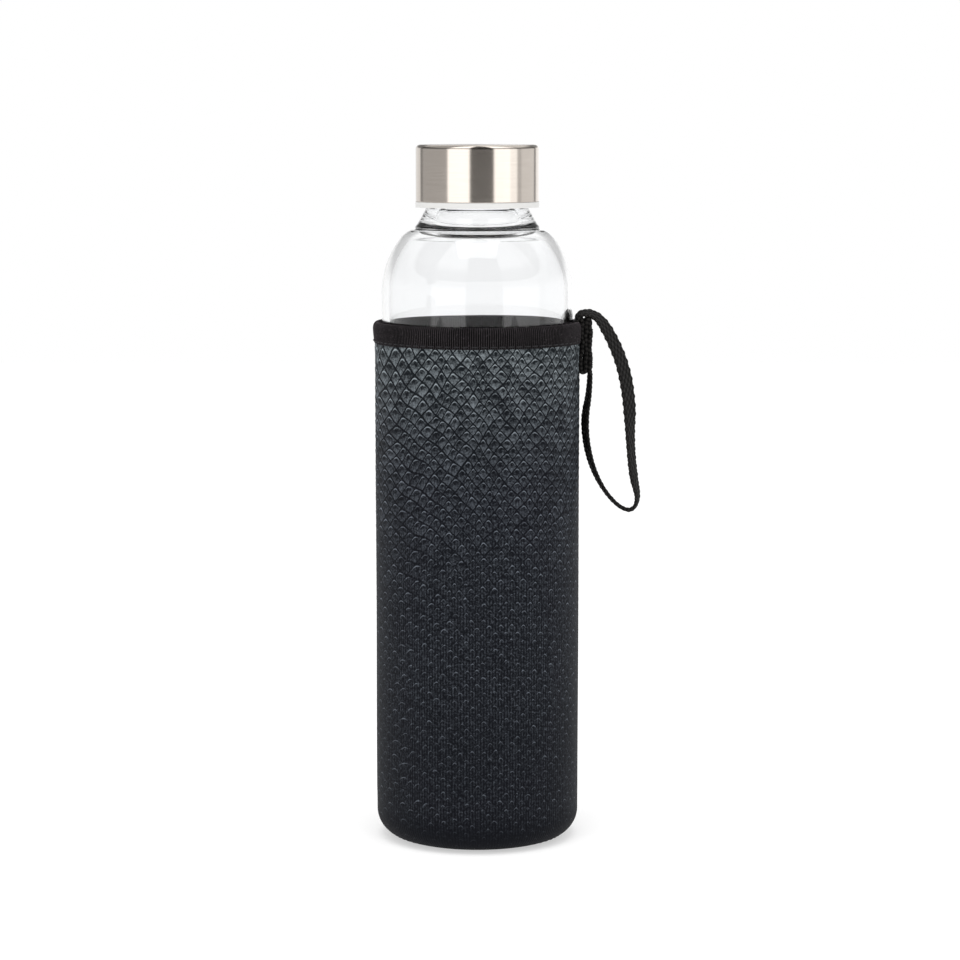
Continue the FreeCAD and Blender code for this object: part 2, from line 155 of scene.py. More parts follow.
class Surface:
    """A Principled material with helpers for procedural colour, roughness and relief."""

    def __init__(self, name, **uniform):
        self.material = bpy.data.materials.new(name)
        self.material.use_nodes = True
        self.tree = self.material.node_tree
        self.shader = self.tree.nodes["Principled BSDF"]
        for key, number in uniform.items():
            self.shader.inputs[key.replace("_", " ")].default_value = number

    def node(self, kind, **settings):
        node = self.tree.nodes.new(kind)
        for key, value in settings.items():
            setattr(node, key, value)
        return node

    def place(self):
        """Object coordinates as three values, in metres."""
        node = self.node("ShaderNodeTexCoord")
        split = self.node("ShaderNodeSeparateXYZ")
        self.tree.links.new(node.outputs["Object"], split.inputs[0])
        return [Value(self.tree, s) for s in split.outputs]

    def uv(self, name):
        node = self.node("ShaderNodeUVMap", uv_map=name)
        split = self.node("ShaderNodeSeparateXYZ")
        self.tree.links.new(node.outputs[0], split.inputs[0])
        return [Value(self.tree, s) for s in split.outputs[:2]]

    def vector(self, *parts):
        node = self.node("ShaderNodeCombineXYZ")
        for slot, item in zip(node.inputs, parts):
            if isinstance(item, Value):
                self.tree.links.new(item.socket, slot)
            else:
                slot.default_value = item
        return node.outputs[0]

    def noise(self, parts, scale=1.0, detail=2.0, roughness=0.5):
        node = self.node("ShaderNodeTexNoise")
        self.tree.links.new(self.vector(*parts), node.inputs["Vector"])
        node.inputs["Scale"].default_value = scale
        node.inputs["Detail"].default_value = detail
        node.inputs["Roughness"].default_value = roughness
        return Value(self.tree, node.outputs[0])

    def random(self, *parts):
        node = self.node("ShaderNodeTexWhiteNoise", noise_dimensions="3D")
        self.tree.links.new(self.vector(*parts), node.inputs["Vector"])
        return Value(self.tree, node.outputs[0])

    def mix(self, factor, low, high):
        """Colour between two, each a colour or a socket."""
        node = self.node("ShaderNodeMix", data_type="RGBA")
        self.tree.links.new(factor.socket, node.inputs[0])
        for slot, item in ((node.inputs[6], low), (node.inputs[7], high)):
            if isinstance(item, tuple):
                slot.default_value = (*item, 1.0)
            else:
                self.tree.links.new(item, slot)
        return node.outputs[2]

    def set(self, name, item):
        socket = item.socket if isinstance(item, Value) else item
        self.tree.links.new(socket, self.shader.inputs[name])

    def colour(self, factor, low, high):
        self.set("Base Color", self.mix(factor, low, high))

    def relief(self, height, distance):
        node = self.node("ShaderNodeBump")
        node.inputs["Strength"].default_value = 1.0
        node.inputs["Distance"].default_value = distance
        self.tree.links.new(height.socket, node.inputs["Height"])
        self.tree.links.new(node.outputs[0], self.shader.inputs["Normal"])


# ------------------------------------------------------------------ mesh helpers
def mesh_object(name, points, faces, surface, body, slot=None, replaces=()):
    mesh = bpy.data.meshes.new(name)
    mesh.from_pydata([tuple(map(float, p)) for p in points], [], faces)
    mesh.validate()
    mesh.polygons.foreach_set("use_smooth", [True] * len(mesh.polygons))
    obj = link(bpy.data.objects.new(name, mesh))
    if surface is not None:
        mesh.materials.append(surface.material)
    if body:
        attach(obj, body)
    if replaces:
        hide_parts(*replaces)
    return obj


def mend(obj, merge=False):
    """Turn the faces outward and, for merge, close the points that coincide."""
    work = bmesh.new()
    work.from_mesh(obj.data)
    if merge:
        bmesh.ops.remove_doubles(work, verts=work.verts, dist=1e-7)
        bmesh.ops.dissolve_degenerate(work, edges=work.edges, dist=1e-8)
    bmesh.ops.recalc_face_normals(work, faces=work.faces)
    work.to_mesh(obj.data)
    work.free()


def grid_faces(rows, columns, row_loop=False, column_loop=True):
    faces = []
    for i in range(rows if row_loop else rows - 1):
        for j in range(columns if column_loop else columns - 1):
            below, beside = (i + 1) % rows, (j + 1) % columns
            faces.append(
                (i * columns + j, i * columns + beside, below * columns + beside, below * columns + j)
            )
    return faces


def arc(centre, radius, start, end, count):
    """Points of an arc in the profile plane, angles in degrees."""
    angles = np.radians(np.linspace(start, end, count))
    return [(centre[0] + radius * math.cos(a), centre[1] + radius * math.sin(a)) for a in angles]


def outward(profile):
    """Unit normals of a closed profile, pointing out of the solid."""
    step = np.roll(profile, -1, axis=0) - np.roll(profile, 1, axis=0)
    normal = np.stack([step[:, 1], -step[:, 0]], -1)
    normal /= np.maximum(np.linalg.norm(normal, axis=1), 1e-9)[:, None]
    after = np.roll(profile, -1, axis=0)
    area = (profile[:, 0] * after[:, 1] - after[:, 0] * profile[:, 1]).sum()
    return normal if area > 0 else -normal


def lathe(name, profile, segments, surface, body, lift=None, **extra):
    """Solid of revolution from a closed profile in mm; lift(radius, height, angle) raises its surface."""
    profile = np.array(profile, float)
    normal = outward(profile)
    angle = np.linspace(0, 2 * math.pi, segments, endpoint=False)
    around = np.repeat(angle[None, :], len(profile), axis=0)
    radius = np.repeat(profile[:, :1], segments, axis=1)
    height = np.repeat(profile[:, 1:], segments, axis=1)
    if lift:
        raised = lift(radius, height, around)
        radius = radius + raised * normal[:, :1]
        height = height + raised * normal[:, 1:]
    points = np.stack([radius * np.cos(around), radius * np.sin(around), height], -1) * MM
    faces = grid_faces(len(profile), segments, row_loop=True)
    obj = mesh_object(name, points.reshape(-1, 3), faces, surface, body, **extra)
    mend(obj, merge=True)
    return obj


# ------------------------------------------------------------------ webbing and thread
WEB_WIDTH, WEB_THICK, TAB_THICK = 10.0, 1.15, 1.5
WEAVE_ALONG, WEAVE_ACROSS, WEAVE_RELIEF = 1.5, 1.62, 0.2
WEB_STEP, WEB_POINTS = 0.25, 37  # along the strap, and points across each of its faces
SELVEDGE_WAVE, EDGE_POWER = 0.108, 12  # how wavy the edges are, and how square

web_surface = Surface("webbing", Roughness=0.75, Specular_IOR_Level=0.10, Sheen_Weight=0.02)
along, across = web_surface.uv("web")
yarn = (along * (math.pi / WEAVE_ALONG)).cosine() * (across * (math.pi / WEAVE_ACROSS)).cosine()
fibre = web_surface.noise((along * 2.2, across * 9.0, 0.0), 1.0, 3.0)
lint = web_surface.noise((along * 1.1, across * 1.1, 3.0), 1.0, 4.0, 0.7)
# the yarn term paints each yarn's crown lighter and the gaps between yarns darker: painted highlight and
# painted shade of the weave; fibre and lint are the webbing's own colour
tone = yarn.absolute() * 0.60 + (fibre - 0.3) * 0.6 + lint.step(0.60, 0.75) * 0.7
web_surface.colour(tone.step(0.1, 1.2), (0.0018, 0.0016, 0.0016), (0.027, 0.025, 0.0235))
web_surface.set("Roughness", fibre * 0.2 + 0.62)
web_surface.relief(fibre + yarn * 0.4, 0.00006)

thread_surface = Surface("sewing_thread", Roughness=0.6, Specular_IOR_Level=0.2, Sheen_Weight=0.03)
x, y, z = thread_surface.place()
fuzz = thread_surface.noise((x, y, z), 5200.0, 3.0)
thread_surface.colour(fuzz, (0.006, 0.006, 0.0065), (0.032, 0.032, 0.035))
thread_surface.relief(fuzz, 0.00003)


# ------------------------------------------------------------------ wrist loop: the cord
LOOP_ROUTE = [
    (33.9, 177.55),
    (34.0, 180.4),
    (40.3, 180.2),
    (45.2, 173.2),
    (49.9, 162.2),
    (52.1, 149.3),
    (52.3, 136.5),
    (53.4, 124.3),
    (55.4, 116.6),
    (53.2, 112.2),
    (48.6, 113.6),
    (43.2, 119.6),
    (39.3, 127.4),
    (37.2, 135.8),
    (36.6, 144.6),
    (38.3, 153.4),
    (38.43, 159.9),
]


def nurbs_line(name, points):
    """Points along the smooth line that takes the given ones as its control points."""
    curve = bpy.data.curves.new(name, "CURVE")
    curve.dimensions = "3D"
    curve.resolution_u = 24
    spline = curve.splines.new("NURBS")
    spline.points.add(len(points) - 1)
    for point, (x, z) in zip(spline.points, points):
        point.co = (x * MM, 0.0, z * MM, 1.0)
    spline.order_u = 3
    spline.use_endpoint_u = True
    holder = link(bpy.data.objects.new(name, curve))
    bpy.context.view_layer.update()
    mesh = bpy.data.meshes.new_from_object(holder)
    line = np.array([v.co[:] for v in mesh.vertices])
    bpy.data.objects.remove(holder)
    bpy.data.meshes.remove(mesh)
    return line


def even(line, step):
    """The same line with points evenly spaced, and the length run so far at each."""
    run = np.concatenate([[0], np.cumsum(np.linalg.norm(np.diff(line, axis=0), axis=1))])
    count = int(run[-1] / step) + 1
    along = np.linspace(0, run[-1], count)
    return np.stack([np.interp(along, run, line[:, k]) for k in range(3)], -1), along


def weave(along, across):
    """Height from -1 to 1 of a plain weave of flat yarns, at places in mm."""
    a = along / WEAVE_ALONG * math.pi
    b = across / WEAVE_ACROSS * math.pi
    over = np.cos(a) * np.cos(b)
    return np.sign(over) * np.abs(over) ** 0.6


def webbing(name, line, twist, thick, **extra):
    """Strip of woven webbing along a line, thick in mm; twist gives its turn in degrees after a run."""
    centre, along = even(line, WEB_STEP * MM)
    along = along / MM
    tangent = np.gradient(centre, axis=0)
    tangent /= np.linalg.norm(tangent, axis=1)[:, None]
    side = np.array([0.0, 1.0, 0.0])
    up = np.cross(side, tangent)
    turn = np.radians([twist(s) for s in along])
    wide = np.cos(turn)[:, None] * side + np.sin(turn)[:, None] * up
    out = np.cross(wide, tangent)
    across = np.linspace(-1, 1, WEB_POINTS)
    ragged = SELVEDGE_WAVE * np.cos(along / WEAVE_ALONG * math.pi * 2)
    half = WEB_WIDTH / 2 - 0.05 + ragged
    points = []
    for face, order, shift in ((1, across, 0), (-1, across[::-1], WEAVE_ALONG)):
        for w in order:
            rounded = math.sqrt(max(0.0, 1 - abs(w) ** EDGE_POWER))
            lift = weave(along + shift, w * WEB_WIDTH / 2) * WEAVE_RELIEF
            height = face * (thick / 2 - 0.05 + lift) * rounded
            points.append(centre + (wide * (w * half)[:, None] + out * height[:, None]) * MM)
    ring = np.stack(points, 1)
    count, around = ring.shape[:2]
    faces = grid_faces(count, around)
    faces.append(tuple(range(around))[::-1])
    faces.append(tuple((count - 1) * around + k for k in range(around)))
    obj = mesh_object(name, ring.reshape(-1, 3), faces, web_surface, "sleeve", slot="webbing", **extra)
    uv = obj.data.uv_layers.new(name="web")
    laid = np.concatenate([across, across[::-1]]) * WEB_WIDTH / 2
    for loop in obj.data.loops:
        i, k = divmod(loop.vertex_index, around)
        uv.data[loop.index].uv = (along[i], laid[k])
    mend(obj)
    return obj


LOOP_TWIST = [(0, 2), (4, 6), (8, 12), (13, 20), (20, 23), (33, 26), (44, 25), (50, 19), (56, 16), (66, 15)]
LOOP_TWIST += [(72, 9), (80, 5), (90, 4), (105, 8), (116, 9), (126, 4), (140, 0)]


def loop_twist(run):
    """Turn of the loop's webbing in degrees, after a run in mm from the rim."""
    return -float(np.interp(run, *zip(*LOOP_TWIST)))


loop_line = nurbs_line("loop_line", LOOP_ROUTE)
strap = webbing("wrist_loop", loop_line, loop_twist, WEB_THICK, replaces=("strap_loop",))

# ------------------------------------------------------------------ the folded tab
tab_low, tab_high = (c[2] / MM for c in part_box("strap_tab"))
TAB_FIRST, TAB_LAYER = 35.6, 1.32  # radius of the first layer, and from one layer to the next
TAB_RISE = 0.8
TAB_LEAN, TAB_LEAN_HEIGHT, TAB_LEAN_RUN = 0.55, 163, 6


def tab_layer(index, low, high, count=26):
    """One layer of the folded tab, from low to high, with the waves of a sewn-down fold."""
    line = []
    for z in np.linspace(low, high, count):
        upright = min(1.0, max(0.0, (z - TAB_LEAN_HEIGHT) / TAB_LEAN_RUN))
        lean = -TAB_LEAN * (1 - upright) if index == 0 else 0.0
        wave = 0.16 * math.sin(z * 0.75 + index * 1.9) + 0.08 * math.sin(z * 1.7 + index)
        line.append((TAB_FIRST + index * TAB_LAYER + lean + wave, z))
    return line


fold = TAB_LAYER / 2
tab_profile = [(34.2, tab_high + 0.9), (34.8, tab_high + 1.2), (35.3, tab_high + 0.9)]
tab_profile += tab_layer(0, tab_low + 1.6, tab_high)[::-1]
tab_profile += arc((TAB_FIRST + fold - 0.3, tab_low + 1.2), fold + 0.2, 190, 350, 9)
tab_profile += tab_layer(1, tab_low + 2.0, tab_high - 0.9 + TAB_RISE)
tab_profile += arc((TAB_FIRST + TAB_LAYER + fold, tab_high - 0.6 + TAB_RISE), fold, 175, 5, 9)
tab_profile += tab_layer(2, tab_low + 1.0, tab_high - 1.0 + TAB_RISE)[::-1]
tab_profile += [(LOOP_ROUTE[-1][0], tab_low)]
tab_line = np.array([(x * MM, 0.0, z * MM) for x, z in tab_profile])
tab = webbing("strap_tab_fold", tab_line, lambda run: 0.0, TAB_THICK, replaces=("strap_tab",))

# ------------------------------------------------------------------ glass
glass_low, glass_top = (c[2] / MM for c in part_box("glass_bottle"))
glass_surface = Surface(
    "glass",
    Base_Color=(0.985, 0.99, 0.995, 1.0),
    Roughness=0.0,
    IOR=1.472,
    Transmission_Weight=1.0,
)
x, y, z = glass_surface.place()
ripple = glass_surface.noise((x, y, z * 0.5), 45.0, 2.0)
smudge = glass_surface.noise((x, y, z), 120.0, 3.0, 0.6)
glass_surface.relief(ripple, 0.00003)
glass_surface.set("Roughness", smudge.step(0.55, 0.9, 0.0, 0.03))

WALL = 2.7
GLASS_RADIUS, NECK_RADIUS, MOUTH_RADIUS = 32.5, 17.4, 14.8
BORE_RADIUS = GLASS_RADIUS - WALL
FOOT_ROUND, FOOT_INNER_ROUND, FLOOR_THICK = 6.85, 5.5, 3.4
SHOULDER_LOW = 186  # where the straight wall ends
SHOULDER, SHOULDER_ROUND, SHOULDER_SWEEP = (2.5, 187.4), 30, 38
CROWN_ROUND, CROWN_SWEEP = 9, 65
CROWN = arc(SHOULDER, SHOULDER_ROUND - CROWN_ROUND, SHOULDER_SWEEP, SHOULDER_SWEEP, 1)[0]
LIP_ROUND, THROAT_ROUND = 0.7, 3.0


def dome(edge_radius, edge_height, rise, count):
    """Points from the axis out to an edge, on a shallow dome."""
    t = np.linspace(0, 1, count)
    return [(edge_radius * s, edge_height + rise * (1 - s * s)) for s in t]


glass_profile = dome(19.5, glass_low, 1.8, 14)
glass_profile += [(21.5, glass_low), (23.5, glass_low)]
glass_profile += arc((GLASS_RADIUS - FOOT_ROUND, glass_low + FOOT_ROUND), FOOT_ROUND, -90, 0, 16)
glass_profile += [(GLASS_RADIUS, z) for z in np.linspace(glass_low + 12, SHOULDER_LOW, 24)]
glass_profile += arc(SHOULDER, SHOULDER_ROUND, 0, SHOULDER_SWEEP, 26)
glass_profile += arc(CROWN, CROWN_ROUND, SHOULDER_SWEEP, CROWN_SWEEP, 14)[1:]
# the bead under the lid, and the flare from it up to the neck
glass_profile += [(22.3, 208.62), (21.8, 208.66), (21.35, 208.72)]
glass_profile += arc((20.35, 209.45), 0.75, -35, 55, 10)
glass_profile += [(20.3, 210.6), (19.7, 211.7), (19.0, 212.9), (18.3, 214.1), (17.8, 215.1)]
glass_profile += [(17.5, 216.1), (NECK_RADIUS, 217.2)]
glass_profile += [(NECK_RADIUS, z) for z in np.linspace(218, 232.6, 60)]
glass_profile += arc((NECK_RADIUS - LIP_ROUND, glass_top - LIP_ROUND), LIP_ROUND, 0, 90, 7)
glass_profile += arc((MOUTH_RADIUS + LIP_ROUND, glass_top - LIP_ROUND), LIP_ROUND, 90, 180, 7)
# back down the inside
glass_profile += [(MOUTH_RADIUS, z) for z in np.linspace(232, 212.2, 20)]
glass_profile += arc((MOUTH_RADIUS + THROAT_ROUND, 211.2), THROAT_ROUND, 180, 245, 10)
glass_profile += arc(CROWN, CROWN_ROUND - WALL, CROWN_SWEEP, SHOULDER_SWEEP, 14)
glass_profile += arc(SHOULDER, SHOULDER_ROUND - WALL, SHOULDER_SWEEP, 0, 26)[1:]
glass_profile += [(BORE_RADIUS, z) for z in np.linspace(SHOULDER_LOW, glass_low + 10, 24)]
foot_inner = (BORE_RADIUS - FOOT_INNER_ROUND, glass_low + FLOOR_THICK + FOOT_INNER_ROUND)
glass_profile += arc(foot_inner, FOOT_INNER_ROUND, 0, -90, 14)
glass_profile += dome(foot_inner[0], glass_low + FLOOR_THICK, 1.4, 14)[::-1][1:]

THREAD_LOW, PITCH, TURNS = 222.6, 4.2, 1.5
THREAD_RISE, THREAD_HALF, THREAD_FLANK = 1.5, 0.98, 0.48


def glass_lift(radius, height, around):
    """The neck's thread, and the slight unevenness of blown glass."""
    on_neck = (np.abs(radius - NECK_RADIUS) < 0.1) & (height > 217.5) & (height < 233)
    ridge = np.zeros_like(radius)
    for lap in range(math.ceil(TURNS)):
        turned = around / (2 * math.pi) + lap
        middle = THREAD_LOW + PITCH * turned
        flank = np.clip((THREAD_HALF - np.abs(height - middle)) / THREAD_FLANK, 0, 1)
        ends = np.clip(turned / 0.08, 0, 1) * np.clip((TURNS - turned) / 0.08, 0, 1)
        smooth = flank * flank * (3 - 2 * flank)
        ridge = np.maximum(ridge, THREAD_RISE * smooth * ends)
    waist = np.clip((height - 20) / 20, 0, 1) * np.clip((200 - height) / 20, 0, 1)
    inner = (radius < BORE_RADIUS + 0.7) & (radius > BORE_RADIUS - 0.8)
    wave = 0.05 * np.sin(2 * around + height * 0.045) + 0.035 * np.sin(3 * around - height * 0.07)
    return np.where(on_neck, ridge, 0) - np.where(inner, wave, 0) * waist


lathe(
    "bottle_glass",
    glass_profile,
    288,
    glass_surface,
    "bottle",
    lift=glass_lift,
    slot="glass",
    replaces=("glass_bottle",),
)

# ------------------------------------------------------------------ lid
steel_surface = Surface("brushed_steel", Metallic=1.0, Anisotropic=0.6, Anisotropic_Rotation=0.25)
tangent = steel_surface.node("ShaderNodeTangent", direction_type="RADIAL", axis="Z")
steel_surface.tree.links.new(tangent.outputs[0], steel_surface.shader.inputs["Tangent"])
x, y, z = steel_surface.place()
out_from_axis = (x * x + y * y).power(0.5)
turned = x.turned(y)
scratch = steel_surface.noise((turned * 0.9, z * 9000, out_from_axis * 9000), 1.0, 3.0, 0.7)
long_scratch = steel_surface.noise((turned * 2.5, z * 2600, out_from_axis * 2600), 1.0, 2.0)
brushing = scratch * 0.6 + long_scratch * 0.4
steel_surface.colour(brushing.step(0.3, 0.7), (0.555, 0.503, 0.452), (0.610, 0.555, 0.502))
steel_surface.set("Roughness", brushing * 0.08 + 0.13)
steel_surface.relief(brushing, 0.0000015)

plastic_surface = Surface("white_plastic", Specular_IOR_Level=0.4)
x, y, z = plastic_surface.place()
mottle = plastic_surface.noise((x, y, z), 90.0, 2.0)
fine = plastic_surface.noise((x, y, z), 2500.0, 2.0)
plastic_surface.colour(mottle, (0.67, 0.665, 0.65), (0.73, 0.725, 0.71))
plastic_surface.set("Roughness", fine * 0.12 + 0.34)
plastic_surface.relief(fine, 0.000006)

seal_surface = Surface("silicone", Specular_IOR_Level=0.3, Subsurface_Weight=0.1, Subsurface_Scale=0.001)
x, y, z = seal_surface.place()
cloud = seal_surface.noise((x, y, z), 160.0, 2.0)
fine = seal_surface.noise((x, y, z), 3000.0, 2.0)
seal_surface.colour(cloud, (0.66, 0.68, 0.68), (0.76, 0.77, 0.77))
seal_surface.set("Roughness", fine * 0.15 + 0.45)
seal_surface.relief(fine, 0.000008)

lid_low, lid_top = (c[2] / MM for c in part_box("lid_shell"))
LID_RADIUS, LID_EDGE, STEEL = 20.9, 1.5, 0.5
shell_profile = [(LID_RADIUS, lid_low + 0.12)]
shell_profile += [(LID_RADIUS, z) for z in np.linspace(lid_low + 0.2, lid_top - LID_EDGE - 0.1, 20)]
shell_profile += arc((LID_RADIUS - LID_EDGE, lid_top - LID_EDGE), LID_EDGE, 0, 90, 14)
shell_profile += [(r, lid_top) for r in (18.5, 16.0, 12.0, 8.0, 4.0, 0.0)]
shell_profile += [(r, lid_top - STEEL) for r in (0.0, 6.0, 12.0, 17.0)]
shell_profile += arc((LID_RADIUS - LID_EDGE, lid_top - LID_EDGE), LID_EDGE - STEEL, 90, 0, 8)
shell_profile += [(LID_RADIUS - STEEL, lid_low + 0.15)]
shell_profile += [(LID_RADIUS - 0.4, lid_low), (LID_RADIUS - 0.1, lid_low)]
lathe(
    "lid_steel",
    shell_profile,
    192,
    steel_surface,
    "lid",
    slot="brushed_steel",
    replaces=("lid_shell",),
)
for name, surface in (("lid_liner", plastic_surface), ("lid_seal", seal_surface)):
    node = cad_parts[name]
    node.data.materials.clear()
    node.data.materials.append(surface.material)

# ------------------------------------------------------------------ the sleeve's scale pattern
SLEEVE_RADIUS, CORNER_ACROSS, CORNER_ROUND = 34.65, 25.65, 9.0
# width and height of a scale in mm against the azimuth: 0 faces the camera, -270 and 90 are the seam
SCALE_WIDTH = [(-270, 6.0), (-220, 5.0), (-180, 4.6), (-140, 5.5), (-110, 7.0), (-70, 7.8), (-47, 7.0)]
SCALE_WIDTH += [(-30, 5.1), (-16, 4.2), (0, 3.7), (20, 4.0), (47, 4.9), (70, 5.4), (90, 5.8)]
SCALE_TALL = [(-270, 6.0), (-220, 5.2), (-180, 5.0), (-140, 6.0), (-110, 8.0), (-70, 9.2), (-47, 8.6)]
SCALE_TALL += [(-30, 5.9), (-16, 5.2), (0, 4.8), (20, 4.8), (47, 5.3), (70, 5.8), (90, 6.0)]
PATTERN_TOP = 171.0
PLAIN_TALL, EVEN_DEPTH = 5.0, 19.0
WANDER, SCALE_ROUND = 0.15, 0.45
PLATE, RIDGE, DIMPLE, TAIL = 0.17, 0.17, 0.10, 0.04  # heights of the embossing
SEAM_DEPTH, PUCKER, GROOVE_EDGES = 0.4, 0.07, (0.15, 1.3)
STITCH_PITCH, KNIT_PITCH = 3.0, 1.0


def drift(u, v, seed, strength):
    """Smooth irregular wander over the lattice, a sum of waves in many directions."""
    source = random.Random(seed)
    total = np.zeros_like(u)
    for _ in range(9):
        way = source.uniform(0, 2 * math.pi)
        rate = source.uniform(0.6, 3.4)
        total = total + np.sin((u * math.cos(way) + v * math.sin(way)) * rate + source.uniform(0, 6.28))
    return total * strength / 3


def eased_table(table, places):
    """The table's numbers at evenly spaced places, smoothed over 60 of them."""
    raw = np.interp(places, *zip(*table))
    kernel = np.hanning(61)
    padded = np.concatenate([np.full(30, raw[0]), raw, np.full(30, raw[-1])])
    return np.convolve(padded, kernel / kernel.sum(), "valid")


AZIMUTH_STEP = 0.25
FINE_AZIMUTH = np.linspace(-270, 90, int(360 / AZIMUTH_STEP) + 1)
COLUMNS = np.cumsum(SLEEVE_RADIUS * math.radians(AZIMUTH_STEP) / eased_table(SCALE_WIDTH, FINE_AZIMUTH))
ROW_RATE = 1 / eased_table(SCALE_TALL, FINE_AZIMUTH) - 1 / PLAIN_TALL


def scale_lattice(angle, height):
    """The two lattice numbers of the scale pattern, at an angle from the seam and a height in mm."""
    azimuth = np.degrees(angle) - 270
    depth = PATTERN_TOP - height
    u = np.interp(azimuth, FINE_AZIMUTH, COLUMNS)
    rows_more = EVEN_DEPTH * (1 - np.exp(-np.maximum(depth, 0) / EVEN_DEPTH)) + np.minimum(depth, 0)
    v = depth / PLAIN_TALL + np.interp(azimuth, FINE_AZIMUTH, ROW_RATE) * rows_more
    return u + v + drift(u, v, 11, WANDER), u - v + drift(u, v, 23, WANDER)


def ease(value, low, high):
    """Smooth change from 0 to 1 as the value goes from low to high."""
    t = np.clip((value - low) / (high - low), 0, 1)
    return t * t * (3 - 2 * t)


def smooth_min(a, b, width):
    """Lesser of two arrays with a rounded changeover, as the shader's smooth minimum."""
    blend = np.maximum(width - np.abs(a - b), 0) / width
    return np.minimum(a, b) - blend**3 * width / 6


def seam_groove(angle):
    """How near a point is to the side seam, from 0 to 1."""
    away = np.abs((angle + math.pi) % (2 * math.pi) - math.pi) * SLEEVE_RADIUS
    return 1 - ease(away, *GROOVE_EDGES)


def scale_lift(radius, height, around):
    """Relief of the embossed face fabric, in mm."""
    first, second = scale_lattice(around, height)
    across, along = first % 1, 1 - second % 1
    upper = smooth_min(across, along, SCALE_ROUND)
    edge = np.minimum(np.minimum(across, along), np.minimum(1 - across, 1 - along))
    down, aside = (across + along) / 2, np.abs(across - along)
    plate = ease(edge, 0.0, 0.11)
    ridge = (1 - ease(np.abs(upper - 0.12), 0.0, 0.10)) * (1 - ease(down, 0.15, 0.62))
    dimple = (1 - ease(np.abs(down - 0.42), 0.0, 0.2)) * (1 - ease(aside, 0.0, 0.4))
    worn = 0.12 + 0.88 * ease(height, 60, 160)
    scales = (PLATE * plate + RIDGE * ridge - DIMPLE * dimple + TAIL * ease(down, 0.4, 0.9)) * worn
    groove = seam_groove(around)
    pucker = PUCKER * np.cos(height / STITCH_PITCH * 2 * math.pi) * groove
    slack = 0.05 * np.sin(2 * around + height * 0.03) + 0.04 * np.sin(5 * around - height * 0.06)
    outer = (radius > SLEEVE_RADIUS - 0.15) & (height > 10)
    there = ease(height, 10, 18) * (1 - ease(height, 168.5, 170.5))
    return np.where(outer, (scales + 0.04 + slack - SEAM_DEPTH * groove - pucker) * there, 0)


def lay_uv(obj, name, function):
    """UV map from a function of the angle about the axis and the height in mm, split at +X."""
    mesh = obj.data
    points = np.array([v.co[:] for v in mesh.vertices])
    corner = np.array([loop.vertex_index for loop in mesh.loops])
    owner = np.zeros(len(corner), int)
    for polygon in mesh.polygons:
        owner[polygon.loop_start : polygon.loop_start + polygon.loop_total] = polygon.index
    angle = np.arctan2(points[:, 1], points[:, 0]) % (2 * math.pi)
    angle[np.abs(angle - 2 * math.pi) < 1e-5] = 0
    middles = np.array([p.center[:] for p in mesh.polygons])
    middle = np.arctan2(middles[:, 1], middles[:, 0]) % (2 * math.pi)
    around = angle[corner]
    around = np.where((around < 0.2) & (middle[owner] > math.pi), around + 2 * math.pi, around)
    u, v = function(around, points[corner, 2] / MM)
    layer = mesh.uv_layers.new(name=name)
    layer.data.foreach_set("uv", np.stack([u, v], -1).ravel())


# ------------------------------------------------------------------ fabrics
PATTERN_FADE = (0.058, 0.165)  # the scales come in between these heights, in metres
PAINTED_LIGHT_LOW, PAINTED_LIGHT_RUN = 0.112, 0.059  # and from this height up the colour is painted lighter towards the top: painted light from above
SEAM_STRIP = (0.0045, 0.0065)  # half width of the dark strip along the side seam
WALES = 182.0  # ribs of the lining's knit round the sleeve
COURSE = 0.0009  # and the height of one row of its loops

face_surface = Surface("scale_fabric", Specular_IOR_Level=0.05, Sheen_Weight=0.01)
x, y, z = face_surface.place()
first, second = face_surface.uv("scales")
chance = face_surface.random(first.floor(), second.floor(), 0.0)
across = first.fract()
along = second.fract().flip()
upper = across.smooth_least(along, SCALE_ROUND)
edge = across.least(along).least(across.flip().least(along.flip()))
down = (across + along) * 0.5
aside = (across - along).absolute()
pattern = z.step(*PATTERN_FADE)
# painted light: from the lower height up, the cloth's colours are painted lighter towards the top, where
# more light falls from above
tone = ((z - PAINTED_LIGHT_LOW) * (1 / PAINTED_LIGHT_RUN)).most(0.0).power(2.0)
fibre = face_surface.noise((x * 1500, y * 1500, z * 1500), 1.0, 3.0, 0.65)
blotch = face_surface.noise((x * 260, y * 260, z * 200), 1.0, 2.0)
# painted shade and light of the embossing: the lattice grooves and the dimple under each ridge are painted
# darker as shade, and the lower part of each scale is painted lighter as lit; chance, blotch and fibre are
# the cloth's own random tone
groove = edge.step(0.022, 0.095)
ridge = upper.bump(0.115, 0.055) * down.step(0.16, 0.50, 1.0, 0.0) * aside.step(0.05, 0.60, 1.0, 0.4)
dimple = down.bump(0.38, 0.20) * aside.step(0.0, 0.5, 1.0, 0.0)
tail = down.step(0.30, 0.90)
shade = groove * 0.26 + tail * groove * 0.24 - dimple * 0.17 + (chance - 0.5) * 0.14 * groove
shade = shade + (blotch - 0.5) * 0.26 + (fibre - 0.5) * 1.15 - 0.07
# painted highlight: a bright arc along the top ridge of each scale, which keeps 55 per cent of its strength
# where the scales fade out
highlight_arcs = ridge * (chance * 0.75 + 0.45)
turned = x.turned(y)
ribs = (turned * (SLEEVE_RADIUS * 2 * math.pi / KNIT_PITCH)).sine()
plain = pattern.flip()
fleck = face_surface.noise((x * 2400, y * 2400, z * 900), 1.0, 2.0, 0.5).step(0.60, 0.75)
knit = ribs * 0.07 + (fibre - 0.5) * 1.1 + fleck * 0.22 + 0.12
shade = shade * pattern + highlight_arcs * (pattern * 0.45 + 0.55) + knit * plain
